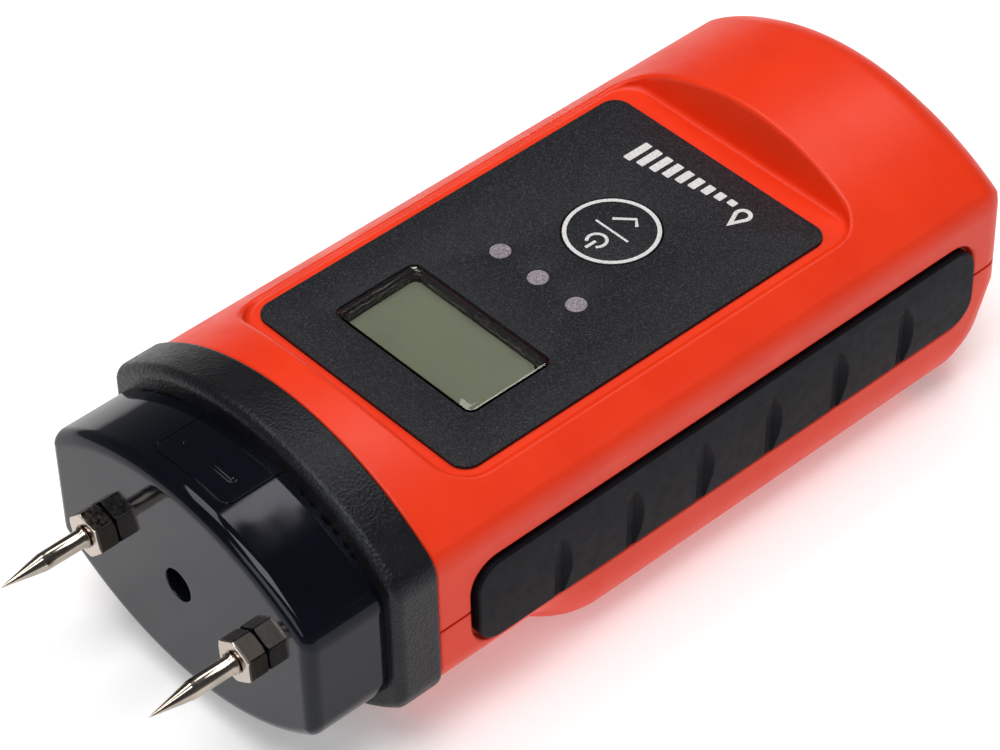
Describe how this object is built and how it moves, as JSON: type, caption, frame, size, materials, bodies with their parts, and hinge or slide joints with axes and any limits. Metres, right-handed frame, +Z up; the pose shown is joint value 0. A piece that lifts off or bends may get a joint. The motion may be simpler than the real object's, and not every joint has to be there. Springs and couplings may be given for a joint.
{
  "type": "moisture meter",
  "caption": "Pocket pin-type moisture meter: electrode pins on a glossy nose, collar, case with rubber side grips, display, indicator lights, press button and sliding battery door.",
  "frame": {"origin": "middle of the overall width and length (pin tips to tail face), on the plane the belly rests on", "axes": "+Z up through the display face, +Y from the pin tips to the tail, +X to the right seen from behind the pins"},
  "size_m": [0.044, 0.1086, 0.0334],
  "materials": {
    "case_plastic": "fine moulded texture, satin",
    "nose_plastic": "polished",
    "collar_plastic": "leather-like moulded grain",
    "grip_rubber": "soft matte",
    "label_film": "fine sparkling grain",
    "clear_window": "clear, polished",
    "lcd_glass": "grey-green reflective display, unlit",
    "bezel_plastic": "satin",
    "contact_rubber": "striped elastomer",
    "light_plastic": "translucent, frosted",
    "led_resin": "clear resin",
    "nickel": "nickel plated, lightly worn",
    "steel": "zinc plated",
    "brass": "turned",
    "board_laminate": "solder resist",
    "chip_resin": "moulded resin",
    "battery_jacket": "plain printed film",
    "wire_red": "PVC insulation",
    "wire_black": "PVC insulation"
  },
  "bodies": {
    "case": {"nose_block": "nose_plastic", "collar": "collar_plastic", "upper_shell": "case_plastic", "lower_shell": "case_plastic", "temperature_sensor": "chip_resin", "electrode_pin_left": "nickel", "electrode_pin_right": "nickel", "hex_nut_left": "nickel", "hex_nut_right": "nickel", "brass_insert_left": "brass", "brass_insert_right": "brass", "electrode_wire_left": "wire_black", "electrode_wire_right": "wire_black", "grip_left": "grip_rubber", "grip_right": "grip_rubber", "face_label": "label_film", "display_window": "clear_window", "display_bezel": "bezel_plastic", "lcd_panel": "lcd_glass", "contact_strip_front": "contact_rubber", "contact_strip_back": "contact_rubber", "light_window_1": "light_plastic", "light_window_2": "light_plastic", "light_window_3": "light_plastic", "led_1": "led_resin", "led_2": "led_resin", "led_3": "led_resin", "switch_body": "steel", "circuit_board": "board_laminate", "microcontroller": "chip_resin", "amplifier_chip": "chip_resin", "case_screw_1": "steel", "case_screw_2": "steel", "case_screw_3": "steel", "case_screw_4": "steel", "board_screw_1": "steel", "board_screw_2": "steel", "board_screw_3": "steel", "board_screw_4": "steel", "battery": "battery_jacket", "battery_snap": "wire_black", "snap_wire_red": "wire_red", "snap_wire_black": "wire_black"},
    "button": {"power_button": "label_film", "switch_plunger": "chip_resin"},
    "door": {"battery_door": "case_plastic"}
  },
  "joints": [
    {"name": "button_press", "type": "slide", "parent": "case", "child": "button", "axis": [0, 0, -1], "range_m": [0, 0.00035], "stiffness_N_per_m": 4500},
    {"name": "door_slide", "type": "slide", "parent": "case", "child": "door", "axis": [0, 1, 0], "range_m": [0, 0.06]}
  ]
}
